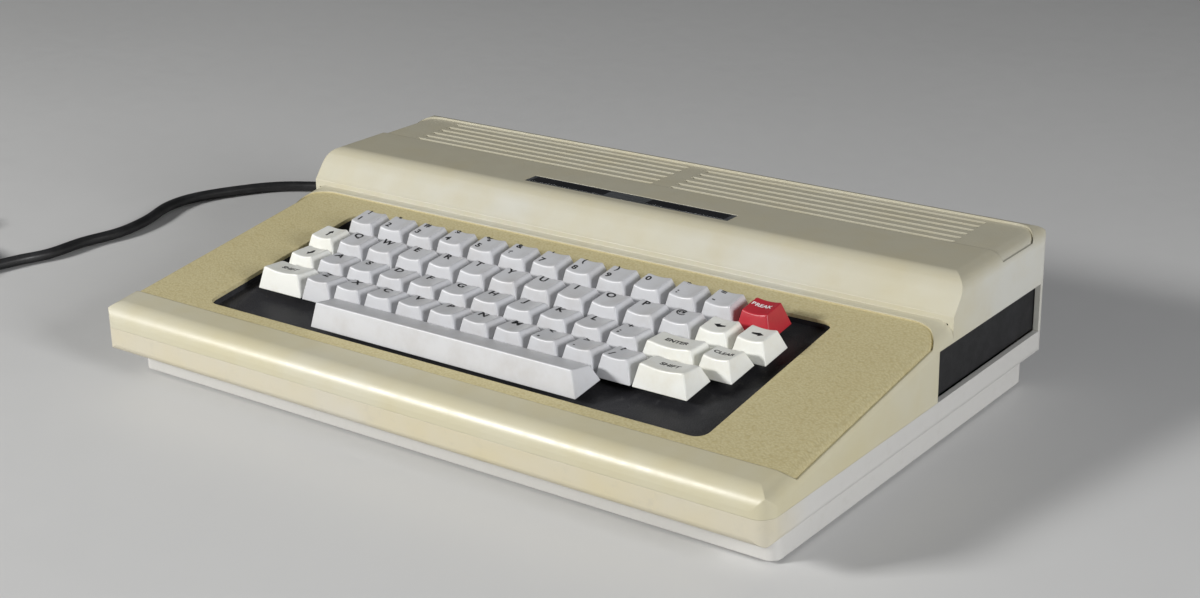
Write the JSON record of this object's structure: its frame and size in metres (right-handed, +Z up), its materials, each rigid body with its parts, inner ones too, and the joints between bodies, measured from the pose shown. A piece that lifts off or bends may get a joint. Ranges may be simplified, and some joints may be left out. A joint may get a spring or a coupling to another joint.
{
  "type": "vintage home computer",
  "caption": "Low wedge-shaped home computer with a built-in full-travel keyboard, vented top, cartridge door in the right side, sockets at the back and a mains cord.",
  "frame": {"origin": "on the table, under the middle of the case's bounding box", "axes": "+X to the user's right along the keyboard, +Y from the front edge to the back, +Z up"},
  "size_m": [0.6549, 0.3434, 0.0777],
  "materials": {
    "case_upper": "yellowed cream ABS, fine leather-like stipple on the panels, semi-gloss rims",
    "case_lower": "pale grey-white ABS, smooth, semi-matt",
    "rubber": "soft black rubber",
    "keyboard_plate": "charcoal plastic with a fine texture",
    "board_metal": "printed board on a plain steel backing",
    "door_black": "black plastic with a fine texture",
    "circuit_board": "green solder mask",
    "chip_black": "moulded black plastic",
    "socket_black": "black plastic sockets with metal contacts",
    "tin_plate": "tin-plated sheet steel",
    "transformer_steel": "varnished steel laminations and taped windings",
    "button_black": "black plastic",
    "cord_black": "black vinyl",
    "key_grey": "light lilac-grey plastic, satin",
    "key_ivory": "ivory plastic, satin",
    "key_red": "dark red plastic, satin"
  },
  "bodies": {
    "chassis": {"upper_case": "case_upper", "lower_case": "case_lower", "rubber_feet": "rubber", "keyboard_frame": "keyboard_plate", "keyboard_contact_board": "board_metal", "main_board": "circuit_board", "board_chips": "chip_black", "rear_sockets": "socket_black", "modulator_can": "tin_plate", "power_transformer": "transformer_steel", "strain_relief": "cord_black", "power_cord": "cord_black", "cord_coil": "cord_black", "plug": "cord_black"},
    "cartridge_door_body": {"cartridge_door": "door_black"},
    "power_button_body": {"power_button": "button_black"},
    "reset_button_body": {"reset_button": "button_black"},
    "channel_slider_body": {"channel_slider": "button_black"},
    "key_break_body": {"key_break": "key_red"},
    "key_up_body": {"key_up": "key_ivory"},
    "key_q_body": {"key_q": "key_grey"},
    "key_w_body": {"key_w": "key_grey"},
    "key_e_body": {"key_e": "key_grey"},
    "key_r_body": {"key_r": "key_grey"},
    "key_t_body": {"key_t": "key_grey"},
    "key_y_body": {"key_y": "key_grey"},
    "key_u_body": {"key_u": "key_grey"},
    "key_i_body": {"key_i": "key_grey"},
    "key_o_body": {"key_o": "key_grey"},
    "key_p_body": {"key_p": "key_grey"},
    "key_at_body": {"key_at": "key_grey"},
    "key_left_body": {"key_left": "key_ivory"},
    "key_right_body": {"key_right": "key_ivory"},
    "key_down_body": {"key_down": "key_ivory"},
    "key_a_body": {"key_a": "key_grey"},
    "key_s_body": {"key_s": "key_grey"},
    "key_d_body": {"key_d": "key_grey"},
    "key_f_body": {"key_f": "key_grey"},
    "key_g_body": {"key_g": "key_grey"},
    "key_h_body": {"key_h": "key_grey"},
    "key_j_body": {"key_j": "key_grey"},
    "key_k_body": {"key_k": "key_grey"},
    "key_l_body": {"key_l": "key_grey"},
    "key_semicolon_body": {"key_semicolon": "key_grey"},
    "key_enter_body": {"key_enter": "key_ivory"},
    "key_clear_body": {"key_clear": "key_ivory"},
    "key_shift_left_body": {"key_shift_left": "key_ivory"},
    "key_z_body": {"key_z": "key_grey"},
    "key_x_body": {"key_x": "key_grey"},
    "key_c_body": {"key_c": "key_grey"},
    "key_v_body": {"key_v": "key_grey"},
    "key_b_body": {"key_b": "key_grey"},
    "key_n_body": {"key_n": "key_grey"},
    "key_m_body": {"key_m": "key_grey"},
    "key_comma_body": {"key_comma": "key_grey"},
    "key_period_body": {"key_period": "key_grey"},
    "key_slash_body": {"key_slash": "key_grey"},
    "key_shift_right_body": {"key_shift_right": "key_ivory"},
    "key_space_body": {"key_space": "key_grey"},
    "number_row_keys_body": {"number_row_keys": "key_grey"}
  },
  "joints": [
    {"name": "cartridge_door_hinge", "type": "hinge", "parent": "chassis", "child": "cartridge_door_body", "pos_m": [0.1796, 0.06425, 0.0523], "axis": [0, 1, 0], "range_deg": [0, 86], "stiffness_Nm_per_rad": 0.02, "springref_deg": -17.19},
    {"name": "power_button_push", "type": "slide", "parent": "chassis", "child": "power_button_body", "axis": [0, -1, 0], "range_m": [0, 0.0025], "stiffness_N_per_m": 300, "springref_m": -0.003},
    {"name": "reset_button_push", "type": "slide", "parent": "chassis", "child": "reset_button_body", "axis": [0, -1, 0], "range_m": [0, 0.002], "stiffness_N_per_m": 300, "springref_m": -0.003},
    {"name": "channel_slide", "type": "slide", "parent": "chassis", "child": "channel_slider_body", "axis": [1, 0, 0], "range_m": [-0.004, 0]},
    {"name": "key_break_press", "type": "slide", "parent": "chassis", "child": "key_break_body", "axis": [0, 0.1461, -0.9893], "range_m": [0, 0.0038], "stiffness_N_per_m": 120, "springref_m": -0.004},
    {"name": "key_up_press", "type": "slide", "parent": "chassis", "child": "key_up_body", "axis": [0, 0.1461, -0.9893], "range_m": [0, 0.0038], "stiffness_N_per_m": 120, "springref_m": -0.004},
    {"name": "key_q_press", "type": "slide", "parent": "chassis", "child": "key_q_body", "axis": [0, 0.1461, -0.9893], "range_m": [0, 0.0038], "stiffness_N_per_m": 120, "springref_m": -0.004},
    {"name": "key_w_press", "type": "slide", "parent": "chassis", "child": "key_w_body", "axis": [0, 0.1461, -0.9893], "range_m": [0, 0.0038], "stiffness_N_per_m": 120, "springref_m": -0.004},
    {"name": "key_e_press", "type": "slide", "parent": "chassis", "child": "key_e_body", "axis": [0, 0.1461, -0.9893], "range_m": [0, 0.0038], "stiffness_N_per_m": 120, "springref_m": -0.004},
    {"name": "key_r_press", "type": "slide", "parent": "chassis", "child": "key_r_body", "axis": [0, 0.1461, -0.9893], "range_m": [0, 0.0038], "stiffness_N_per_m": 120, "springref_m": -0.004},
    {"name": "key_t_press", "type": "slide", "parent": "chassis", "child": "key_t_body", "axis": [0, 0.1461, -0.9893], "range_m": [0, 0.0038], "stiffness_N_per_m": 120, "springref_m": -0.004},
    {"name": "key_y_press", "type": "slide", "parent": "chassis", "child": "key_y_body", "axis": [0, 0.1461, -0.9893], "range_m": [0, 0.0038], "stiffness_N_per_m": 120, "springref_m": -0.004},
    {"name": "key_u_press", "type": "slide", "parent": "chassis", "child": "key_u_body", "axis": [0, 0.1461, -0.9893], "range_m": [0, 0.0038], "stiffness_N_per_m": 120, "springref_m": -0.004},
    {"name": "key_i_press", "type": "slide", "parent": "chassis", "child": "key_i_body", "axis": [0, 0.1461, -0.9893], "range_m": [0, 0.0038], "stiffness_N_per_m": 120, "springref_m": -0.004},
    {"name": "key_o_press", "type": "slide", "parent": "chassis", "child": "key_o_body", "axis": [0, 0.1461, -0.9893], "range_m": [0, 0.0038], "stiffness_N_per_m": 120, "springref_m": -0.004},
    {"name": "key_p_press", "type": "slide", "parent": "chassis", "child": "key_p_body", "axis": [0, 0.1461, -0.9893], "range_m": [0, 0.0038], "stiffness_N_per_m": 120, "springref_m": -0.004},
    {"name": "key_at_press", "type": "slide", "parent": "chassis", "child": "key_at_body", "axis": [0, 0.1461, -0.9893], "range_m": [0, 0.0038], "stiffness_N_per_m": 120, "springref_m": -0.004},
    {"name": "key_left_press", "type": "slide", "parent": "chassis", "child": "key_left_body", "axis": [0, 0.1461, -0.9893], "range_m": [0, 0.0038], "stiffness_N_per_m": 120, "springref_m": -0.004},
    {"name": "key_right_press", "type": "slide", "parent": "chassis", "child": "key_right_body", "axis": [0, 0.1461, -0.9893], "range_m": [0, 0.0038], "stiffness_N_per_m": 120, "springref_m": -0.004},
    {"name": "key_down_press", "type": "slide", "parent": "chassis", "child": "key_down_body", "axis": [0, 0.1461, -0.9893], "range_m": [0, 0.0038], "stiffness_N_per_m": 120, "springref_m": -0.004},
    {"name": "key_a_press", "type": "slide", "parent": "chassis", "child": "key_a_body", "axis": [0, 0.1461, -0.9893], "range_m": [0, 0.0038], "stiffness_N_per_m": 120, "springref_m": -0.004},
    {"name": "key_s_press", "type": "slide", "parent": "chassis", "child": "key_s_body", "axis": [0, 0.1461, -0.9893], "range_m": [0, 0.0038], "stiffness_N_per_m": 120, "springref_m": -0.004},
    {"name": "key_d_press", "type": "slide", "parent": "chassis", "child": "key_d_body", "axis": [0, 0.1461, -0.9893], "range_m": [0, 0.0038], "stiffness_N_per_m": 120, "springref_m": -0.004},
    {"name": "key_f_press", "type": "slide", "parent": "chassis", "child": "key_f_body", "axis": [0, 0.1461, -0.9893], "range_m": [0, 0.0038], "stiffness_N_per_m": 120, "springref_m": -0.004},
    {"name": "key_g_press", "type": "slide", "parent": "chassis", "child": "key_g_body", "axis": [0, 0.1461, -0.9893], "range_m": [0, 0.0038], "stiffness_N_per_m": 120, "springref_m": -0.004},
    {"name": "key_h_press", "type": "slide", "parent": "chassis", "child": "key_h_body", "axis": [0, 0.1461, -0.9893], "range_m": [0, 0.0038], "stiffness_N_per_m": 120, "springref_m": -0.004},
    {"name": "key_j_press", "type": "slide", "parent": "chassis", "child": "key_j_body", "axis": [0, 0.1461, -0.9893], "range_m": [0, 0.0038], "stiffness_N_per_m": 120, "springref_m": -0.004},
    {"name": "key_k_press", "type": "slide", "parent": "chassis", "child": "key_k_body", "axis": [0, 0.1461, -0.9893], "range_m": [0, 0.0038], "stiffness_N_per_m": 120, "springref_m": -0.004},
    {"name": "key_l_press", "type": "slide", "parent": "chassis", "child": "key_l_body", "axis": [0, 0.1461, -0.9893], "range_m": [0, 0.0038], "stiffness_N_per_m": 120, "springref_m": -0.004},
    {"name": "key_semicolon_press", "type": "slide", "parent": "chassis", "child": "key_semicolon_body", "axis": [0, 0.1461, -0.9893], "range_m": [0, 0.0038], "stiffness_N_per_m": 120, "springref_m": -0.004},
    {"name": "key_enter_press", "type": "slide", "parent": "chassis", "child": "key_enter_body", "axis": [0, 0.1461, -0.9893], "range_m": [0, 0.0038], "stiffness_N_per_m": 120, "springref_m": -0.004},
    {"name": "key_clear_press", "type": "slide", "parent": "chassis", "child": "key_clear_body", "axis": [0, 0.1461, -0.9893], "range_m": [0, 0.0038], "stiffness_N_per_m": 120, "springref_m": -0.004},
    {"name": "key_shift_left_press", "type": "slide", "parent": "chassis", "child": "key_shift_left_body", "axis": [0, 0.1461, -0.9893], "range_m": [0, 0.0038], "stiffness_N_per_m": 120, "springref_m": -0.004},
    {"name": "key_z_press", "type": "slide", "parent": "chassis", "child": "key_z_body", "axis": [0, 0.1461, -0.9893], "range_m": [0, 0.0038], "stiffness_N_per_m": 120, "springref_m": -0.004},
    {"name": "key_x_press", "type": "slide", "parent": "chassis", "child": "key_x_body", "axis": [0, 0.1461, -0.9893], "range_m": [0, 0.0038], "stiffness_N_per_m": 120, "springref_m": -0.004},
    {"name": "key_c_press", "type": "slide", "parent": "chassis", "child": "key_c_body", "axis": [0, 0.1461, -0.9893], "range_m": [0, 0.0038], "stiffness_N_per_m": 120, "springref_m": -0.004},
    {"name": "key_v_press", "type": "slide", "parent": "chassis", "child": "key_v_body", "axis": [0, 0.1461, -0.9893], "range_m": [0, 0.0038], "stiffness_N_per_m": 120, "springref_m": -0.004},
    {"name": "key_b_press", "type": "slide", "parent": "chassis", "child": "key_b_body", "axis": [0, 0.1461, -0.9893], "range_m": [0, 0.0038], "stiffness_N_per_m": 120, "springref_m": -0.004},
    {"name": "key_n_press", "type": "slide", "parent": "chassis", "child": "key_n_body", "axis": [0, 0.1461, -0.9893], "range_m": [0, 0.0038], "stiffness_N_per_m": 120, "springref_m": -0.004},
    {"name": "key_m_press", "type": "slide", "parent": "chassis", "child": "key_m_body", "axis": [0, 0.1461, -0.9893], "range_m": [0, 0.0038], "stiffness_N_per_m": 120, "springref_m": -0.004},
    {"name": "key_comma_press", "type": "slide", "parent": "chassis", "child": "key_comma_body", "axis": [0, 0.1461, -0.9893], "range_m": [0, 0.0038], "stiffness_N_per_m": 120, "springref_m": -0.004},
    {"name": "key_period_press", "type": "slide", "parent": "chassis", "child": "key_period_body", "axis": [0, 0.1461, -0.9893], "range_m": [0, 0.0038], "stiffness_N_per_m": 120, "springref_m": -0.004},
    {"name": "key_slash_press", "type": "slide", "parent": "chassis", "child": "key_slash_body", "axis": [0, 0.1461, -0.9893], "range_m": [0, 0.0038], "stiffness_N_per_m": 120, "springref_m": -0.004},
    {"name": "key_shift_right_press", "type": "slide", "parent": "chassis", "child": "key_shift_right_body", "axis": [0, 0.1461, -0.9893], "range_m": [0, 0.0038], "stiffness_N_per_m": 120, "springref_m": -0.004},
    {"name": "key_space_press", "type": "slide", "parent": "chassis", "child": "key_space_body", "axis": [0, 0.1461, -0.9893], "range_m": [0, 0.0038], "stiffness_N_per_m": 240, "springref_m": -0.004},
    {"name": "number_row_keys_press", "type": "slide", "parent": "chassis", "child": "number_row_keys_body", "axis": [0, 0.1461, -0.9893], "range_m": [0, 0.0038], "stiffness_N_per_m": 1200, "springref_m": -0.004}
  ]
}
